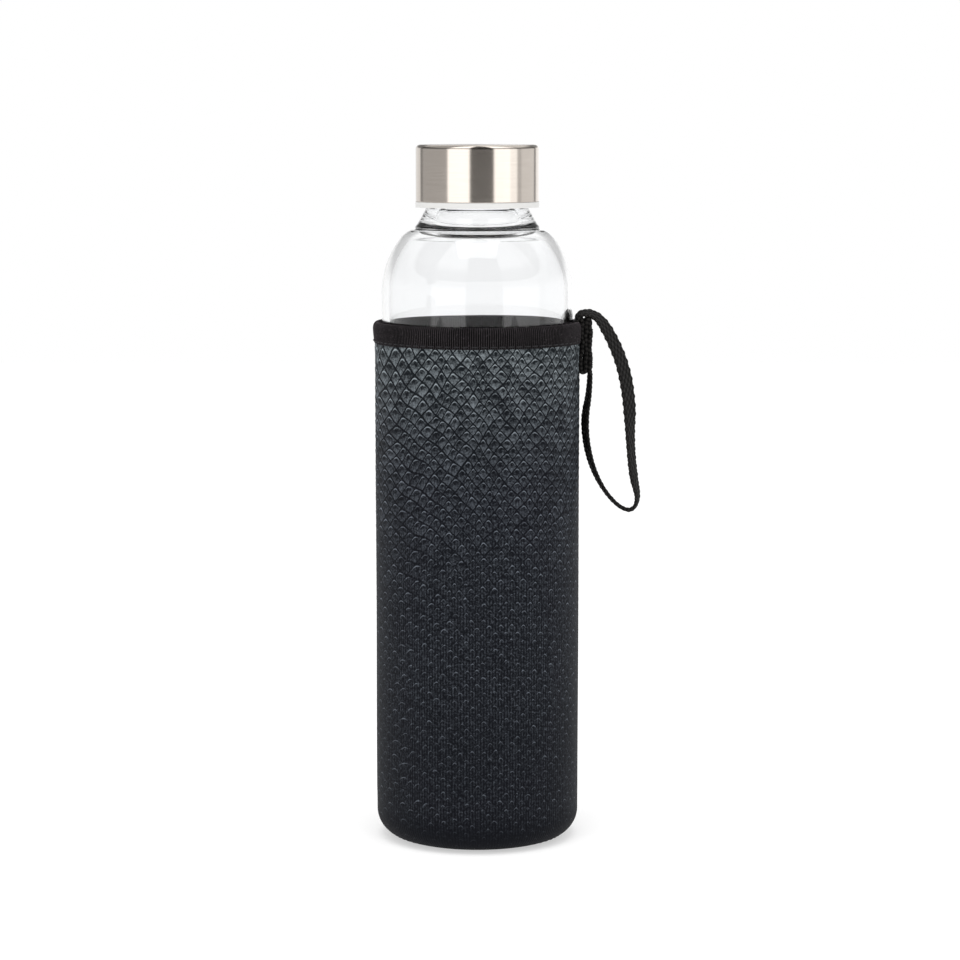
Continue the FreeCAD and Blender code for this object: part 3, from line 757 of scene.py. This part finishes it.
# painted shade: the cloth is painted darker towards the floor, much darker in the lowest 16 mm, and a
# little lighter above 62 mm
foot_shade = z.step(0.003, 0.016, 0.15, 1.0) * z.step(0.030, 0.062, 0.80, 1.08)
seam = (x.step(0.0, 0.02) * y.absolute().step(*SEAM_STRIP, 0.80, 0.0)).flip()
# the shade runs from low_tone, dark as painted shade in the grooves, to high_tone, bright as the painted
# highlight on the arcs; both are painted lighter towards the top
low_tone = face_surface.mix(tone, (0.0040, 0.0045, 0.0068), (0.0060, 0.0085, 0.0105))
high_tone = face_surface.mix(tone, (0.130, 0.147, 0.174), (0.310, 0.350, 0.372))
shade = shade.step(0.0, 1.0) * foot_shade * seam
face_surface.colour(shade, low_tone, high_tone)
face_surface.set("Roughness", fibre * 0.2 + 0.55 - highlight_arcs * 0.12)
face_surface.relief(fibre * 0.5 + ribs * plain * 0.35 + ridge * pattern * 0.5, 0.00010)

lining_surface = Surface("lining_fabric", Specular_IOR_Level=0.12, Sheen_Weight=0.04)
x, y, z = lining_surface.place()
turned = x.turned(y)
wale = (turned * WALES).sine()
course = (z * (2 * math.pi / COURSE) + wale.absolute() * 2.4).sine()
fuzz = lining_surface.noise((x, y, z), 2600.0, 3.0, 0.6)
loops = wale * 0.5 + course * 0.5 + fuzz
lining_surface.colour(loops.step(-0.6, 1.6), (0.006, 0.007, 0.009), (0.040, 0.042, 0.048))
lining_surface.set("Roughness", fuzz * 0.2 + 0.75)
lining_surface.relief(loops, 0.00012)

foam_surface = Surface("neoprene", Specular_IOR_Level=0.2)
x, y, z = foam_surface.place()
cell_node = foam_surface.node("ShaderNodeTexVoronoi")
cell_node.inputs["Scale"].default_value = 3200.0
foam_surface.tree.links.new(foam_surface.vector(x, y, z), cell_node.inputs["Vector"])
pore = Value(foam_surface.tree, cell_node.outputs["Distance"])
foam_surface.colour(pore, (0.010, 0.010, 0.011), (0.030, 0.030, 0.031))
foam_surface.set("Roughness", pore * 0.2 + 0.7)
foam_surface.relief(pore, 0.00008)

TAPE_RIBS = 300
tape_surface = Surface("binding_tape", Specular_IOR_Level=0.06, Sheen_Weight=0.01)
x, y, z = tape_surface.place()
turned = x.turned(y)
rib_shading = (turned * float(TAPE_RIBS)).cosine()
fibre = tape_surface.noise((x, y, z), 3800.0, 3.0, 0.65)
lint = tape_surface.noise((x, y, z), 900.0, 4.0, 0.75)
wear = tape_surface.noise((x, y, z), 150.0, 2.0)
# the rib term paints the crest of each rib lighter and the hollow between ribs darker: painted highlight
# and painted shade; fibre, wear and lint are the tape's own colour
tone = rib_shading * 0.62 + (fibre - 0.5) * 1.8 + (wear - 0.5) * 0.5 + lint.step(0.60, 0.68) * 1.1 + 0.12
tape_surface.colour(tone.step(-0.1, 1.3), (0.0006, 0.0005, 0.0006), (0.052, 0.045, 0.049))
tape_surface.set("Roughness", fibre * 0.25 + 0.55)
tape_surface.relief(fibre, 0.00005)

# ------------------------------------------------------------------ sleeve
SEAM = 62  # angle of the bottom seam below the level, round the corner
BASE_EDGE = SEAM + 2  # and of the bottom's own edge
# inner and outer radius of each ply at the corner
FACE = (8.7, 9.0)
FOAM = (7.5, 8.65)
LINING = (7.15, 7.45)
SLEEVE_TOP, FLARE_LOW, FLARE_HIGH = 176.1, 165.0, 169.5


def wall_profile(ply, inner_flare, outer_flare, rows):
    """Closed profile of one ply of the sleeve's wall, rows points up its outer side."""
    inner, outer = ply
    low = CORNER_ROUND + 3
    points = arc((CORNER_ACROSS, CORNER_ROUND), outer, -SEAM, 0, 14)
    points += [(CORNER_ACROSS + outer, z) for z in np.linspace(low, FLARE_LOW, rows)]
    top_out, top_in = CORNER_ACROSS + outer + outer_flare, CORNER_ACROSS + inner + inner_flare
    for t in np.linspace(0, 1, 8)[1:]:
        points.append((CORNER_ACROSS + outer + outer_flare * t, FLARE_LOW + (FLARE_HIGH - FLARE_LOW) * t))
    points += [(top_out, 171.5), (top_out, SLEEVE_TOP)]
    points += [(top_in, SLEEVE_TOP), (top_in, FLARE_HIGH)]
    points += [(CORNER_ACROSS + inner, z) for z in np.linspace(FLARE_LOW, low, 12)]
    points += arc((CORNER_ACROSS, CORNER_ROUND), inner, 0, -SEAM, 12)
    return points


def base_profile(ply):
    """Closed profile of one ply of the sleeve's bottom."""
    inner, outer = ply
    low, high = CORNER_ROUND - outer, CORNER_ROUND - inner
    points = [(r, low) for r in (0, 6, 12, 18, 22)]
    points += arc((CORNER_ACROSS, CORNER_ROUND), outer, -90, -BASE_EDGE, 8)
    points += arc((CORNER_ACROSS, CORNER_ROUND), inner, -BASE_EDGE, -90, 8)
    points += [(r, high) for r in (22, 18, 12, 6, 0)]
    return points


def ply_piece(name, profile, segments, surface, slot, node, **extra):
    return lathe(name, profile, segments, surface, "sleeve", slot=slot, replaces=(node,), **extra)


face = ply_piece(
    "sleeve_face", wall_profile(FACE, 0.2, 0.15, 380), 544,
    face_surface, "scale_fabric", "wall_face", lift=scale_lift,
)
lining = ply_piece(
    "sleeve_lining", wall_profile(LINING, 0.5, 0.5, 30), 192, lining_surface, "lining_fabric", "wall_lining"
)
foam = ply_piece(
    "sleeve_foam", wall_profile(FOAM, 0.5, 0.2, 30), 192, foam_surface, "neoprene", "wall_foam"
)
bottom_face = ply_piece("bottom_face", base_profile(FACE), 256, face_surface, "base_fabric", "base_face")
bottom_foam = ply_piece("bottom_foam", base_profile(FOAM), 192, foam_surface, "neoprene", "base_foam")
bottom_lining = ply_piece(
    "bottom_lining", base_profile(LINING), 192, lining_surface, "lining_fabric", "base_lining"
)
for piece in (face, bottom_face):
    lay_uv(piece, "scales", scale_lattice)

# ------------------------------------------------------------------ rim tape
TAPE_LOW, TAPE_BELLY, TAPE_TOP, TAPE_IN = 170.4, 35.5, 177.45, 32.85
TAPE_OUT, TAPE_MIDDLE, TAPE_THICK, TAPE_WIDTH = 35.15, 34.1, 0.4, 16.8


def tape_lift(radius, height, around):
    """Cords of the grosgrain, which run across the tape and so over the rim."""
    shown = (radius > 34.9) | (height > SLEEVE_TOP + 0.3) | (radius < 33.1)
    slack = 0.06 * np.sin(3 * around + 1) + 0.05 * np.sin(8 * around + height * 0.5)
    return np.where(shown, 0.13 * np.cos(around * TAPE_RIBS) + slack * (radius > 34.9), 0)


tape_profile = [(35.02, TAPE_LOW), (TAPE_OUT, TAPE_LOW + 0.25)]
for t in np.linspace(0.1, 1, 10):
    swell = (TAPE_BELLY - TAPE_OUT) * math.sin(t * math.pi / 2)
    tape_profile.append((TAPE_OUT + swell, TAPE_LOW + 0.3 + 4.6 * t))
crown = ((TAPE_BELLY + TAPE_IN) / 2, 175.3)
for a in np.radians(np.linspace(0, 180, 22))[1:]:
    tape_profile.append((
        crown[0] + (TAPE_BELLY - TAPE_IN) / 2 * math.cos(a),
        crown[1] + (TAPE_TOP - crown[1]) * math.sin(a),
    ))
tape_profile += [(TAPE_IN, 173.0), (TAPE_IN, TAPE_LOW)]
tape_profile += [(TAPE_IN + TAPE_THICK, TAPE_LOW), (TAPE_IN + TAPE_THICK, 175.6)]
tape_profile += arc((34.05, 176.2), 0.8, 170, 10, 8)
tape_profile += [(34.85, 175.6), (34.85, 172.0), (34.85, TAPE_LOW)]
tape = lathe(
    "rim_tape",
    tape_profile,
    TAPE_RIBS * 4,
    tape_surface,
    "sleeve",
    lift=tape_lift,
    slot="binding_tape",
    replaces=("rim_binding",),
)

# ------------------------------------------------------------------ stitches
STITCH_LENGTH = 2.2
STRAND, LOFT = 0.13, 0.30  # radius of one ply of the thread, and how far a stitch rises
STRAND_POINTS, STRAND_SIDES = 12, 6
RIM_SEAM = (35.27, 171.2)  # radius and height of the stitches along the tape
TAB_GAP = 6  # they stop this far from the middle of the tab
SIDE_STITCHES, SIDE_LOW = 49, 11
BASE_SINK, SIDE_SINK = 0.12, 0.42  # how deep the stitches lie in the seams
TACK_ROWS, TACK_PITCH, TACK_LENGTH = 4, 0.75, 8.0


def stitching(name, stitches, node):
    """Stitches of two-ply thread; each is a middle, a direction along, a direction out and a length."""
    points, faces = [], []
    run = np.linspace(0, 1, STRAND_POINTS)
    rise = LOFT * np.sin(run * math.pi) ** 0.6 - LOFT * 0.75
    for middle, along, out, length in stitches:
        middle, along, out = (np.array(item, float) for item in (middle, along, out))
        aside = np.cross(along, out)
        for ply in (0, math.pi):
            spin = run * length / 1.1 * math.pi + ply
            line = (
                middle
                + np.outer((run - 0.5) * length, along)
                + np.outer(STRAND * 0.8 * np.cos(spin), aside)
                + np.outer(STRAND * 0.8 * np.sin(spin) + rise, out)
            )
            start = len(points)
            for spot in line:
                for k in range(STRAND_SIDES):
                    a = 2 * math.pi * k / STRAND_SIDES
                    points.append((spot + STRAND * (math.cos(a) * aside + math.sin(a) * out)) * MM)
            for i, j in ((i, j) for i in range(STRAND_POINTS - 1) for j in range(STRAND_SIDES)):
                low, beside = start + i * STRAND_SIDES, (j + 1) % STRAND_SIDES
                faces.append((low + j, low + beside, low + STRAND_SIDES + beside, low + STRAND_SIDES + j))
            faces.append(tuple(start + j for j in range(STRAND_SIDES))[::-1])
            last = start + (STRAND_POINTS - 1) * STRAND_SIDES
            faces.append(tuple(last + j for j in range(STRAND_SIDES)))
    obj = mesh_object(name, points, faces, thread_surface, "sleeve", slot="sewing_thread", replaces=(node,))
    mend(obj)
    return obj


def ring_stitches(radius, height, dip=0.0):
    """Stitches round the sleeve; dip is how far their outward direction looks down, in degrees."""
    count = int(2 * math.pi * radius / STITCH_PITCH)
    flat, down = math.cos(math.radians(dip)), math.sin(math.radians(dip))
    stitches = []
    for i in range(count):
        a = 2 * math.pi * (i + 0.5) / count
        middle = (radius * math.cos(a), radius * math.sin(a), height)
        out = (math.cos(a) * flat, math.sin(a) * flat, -down)
        stitches.append((middle, (-math.sin(a), math.cos(a), 0), out, STITCH_LENGTH))
    return stitches


rim_seam = [s for s in ring_stitches(*RIM_SEAM) if not (s[0][0] > 0 and abs(s[0][1]) < TAB_GAP)]
stitching("rim_thread", rim_seam, "binding_stitches")
side_out = SLEEVE_RADIUS - SIDE_SINK
side_seam = [
    ((side_out, 0, SIDE_LOW + (i + 0.5) * STITCH_PITCH), (0, 0, 1), (1, 0, 0), STITCH_LENGTH)
    for i in range(SIDE_STITCHES)
]
stitching("side_seam_thread", side_seam, "side_seam_stitches")
seam_dip = SEAM + 1
base_ring = arc((CORNER_ACROSS, CORNER_ROUND), CORNER_ROUND - BASE_SINK, -seam_dip, -seam_dip, 1)[0]
stitching("bottom_seam_thread", ring_stitches(*base_ring, dip=seam_dip), "base_seam_stitches")
tack_out = tab_line[-1][0] / MM + 0.66
tacks = [
    ((tack_out, 0, low + i * TACK_PITCH), (0, 1, 0), (1, 0, 0), TACK_LENGTH)
    for low in (tab_low + 2, tab_high - 5)
    for i in range(TACK_ROWS)
]
tab_thread = stitching("tab_thread", tacks, "tab_stitches")


def ply_length(ply):
    """Length of a wall ply in metres, from its bottom seam over the corner to its top."""
    return (math.radians(SEAM) * ply[1] + SLEEVE_TOP - CORNER_ROUND) * MM


def girth(radius):
    return 2 * math.pi * radius * MM


for piece, ply in ((face, FACE), (foam, FOAM), (lining, LINING)):
    girth(CORNER_ACROSS + ply[1])
    ply_length(ply)
for piece, ply in ((bottom_face, FACE), (bottom_foam, FOAM), (bottom_lining, LINING)):
    cut = CORNER_ACROSS + math.radians(90 - BASE_EDGE) * ply[1]
    2 * cut * MM
    2 * cut * MM
    math.pi * (cut * MM) ** 2
girth(TAPE_MIDDLE)

# ------------------------------------------------------------------ floor, world and lights
FLOOR_REACH, FLOOR_DROP = 2, 0.0002

# the floor glows a little of its own, which keeps the shadow on it light
floor_surface = Surface(
    "floor", Specular_IOR_Level=0.1, Emission_Color=(1.0, 1.0, 1.0, 1.0), Emission_Strength=0.5
)
x, y, z = floor_surface.place()
speck = floor_surface.noise((x, y, z), 400.0, 3.0)
floor_surface.colour(speck, (0.500, 0.500, 0.500), (0.510, 0.510, 0.510))
floor_surface.set("Roughness", speck * 0.1 + 0.85)
floor = mesh_object(
    "floor",
    [(x * FLOOR_REACH, y * FLOOR_REACH, -FLOOR_DROP) for x, y in ((-1, -1), (1, -1), (1, 1), (-1, 1))],
    [(0, 1, 2, 3)],
    floor_surface,
    None,
)

world = bpy.data.worlds.new("studio")
scene.world = world
world.use_nodes = True
tree = world.node_tree
background = tree.nodes["Background"]
background.inputs["Color"].default_value = (1, 1, 1, 1)
coordinate = tree.nodes.new("ShaderNodeTexCoord")
split = tree.nodes.new("ShaderNodeSeparateXYZ")
tree.links.new(coordinate.outputs["Generated"], split.inputs[0])
x, y, z = (Value(tree, s) for s in split.outputs)
azimuth = x.turned(y * -1.0) * (180 / math.pi)


def between(value, low, high, soft):
    """1 from low to high and 0 outside, over soft edges."""
    return value.step(low - soft, low + soft) * value.step(high - soft, high + soft, 1.0, 0.0)


# what mirrors see, as azimuth from and to in degrees and brightness: two upright softboxes in front,
# a dark gap between them and duller walls all round
MIRROR_BANDS = (
    (-181, -133, 1.00),
    (-133, -123, 0.30),
    (-123, -57, 0.55),
    (-57, -14, 2.25),
    (-14, 31, 0.10),
    (31, 64, 2.20),
    (64, 80, 1.75),
    (80, 90, 0.70),
    (90, 132, 1.00),
    (132, 141, 0.35),
    (141, 181, 1.25),
)
seen = azimuth * 0.0
for low, high, level in MIRROR_BANDS:
    seen = seen + between(azimuth, low, high, 2.0) * level
light_path = tree.nodes.new("ShaderNodeLightPath")
outside = Value(tree, light_path.outputs["Transmission Depth"]).step(0.3, 0.7, 1.0, 0.0)
# a dull belt some 20 degrees above the level; through glass, no bands and a faint belt lower down
overhead = (z - 0.34).absolute().step(0.10, 0.26, 0.25, 1.0)
inside_glass = (z - 0.22).absolute().step(0.06, 0.24, 0.72, 1.0)
seen = seen * overhead * outside + inside_glass * outside.flip()
mirrored = Value(tree, light_path.outputs["Glossy Depth"]).least(1.0)
scattered = Value(tree, light_path.outputs["Diffuse Depth"]).least(1.0)
mirror_rays = mirrored * scattered.flip()
strength = mirror_rays * seen + mirror_rays.flip()
tree.links.new(strength.socket, background.inputs["Strength"])


def area_light(name, place, target, size, power):
    data = bpy.data.lights.new(name, "AREA")
    data.shape = "RECTANGLE"
    data.size, data.size_y = size
    data.energy = power
    lamp = link(bpy.data.objects.new(name, data))
    lamp.location = place
    lamp.rotation_euler = (Vector(target) - Vector(place)).to_track_quat("-Z", "Y").to_euler()
    lamp.visible_glossy = False


area_light("top_softbox", place=(0.0, -0.35, 1.3), target=(0, 0, 0.1), size=(0.9, 0.9), power=9)

scene.view_settings.view_transform = "Standard"
scene.view_settings.look = "None"
scene.view_settings.exposure = 0.0
scene.view_settings.gamma = 1.0
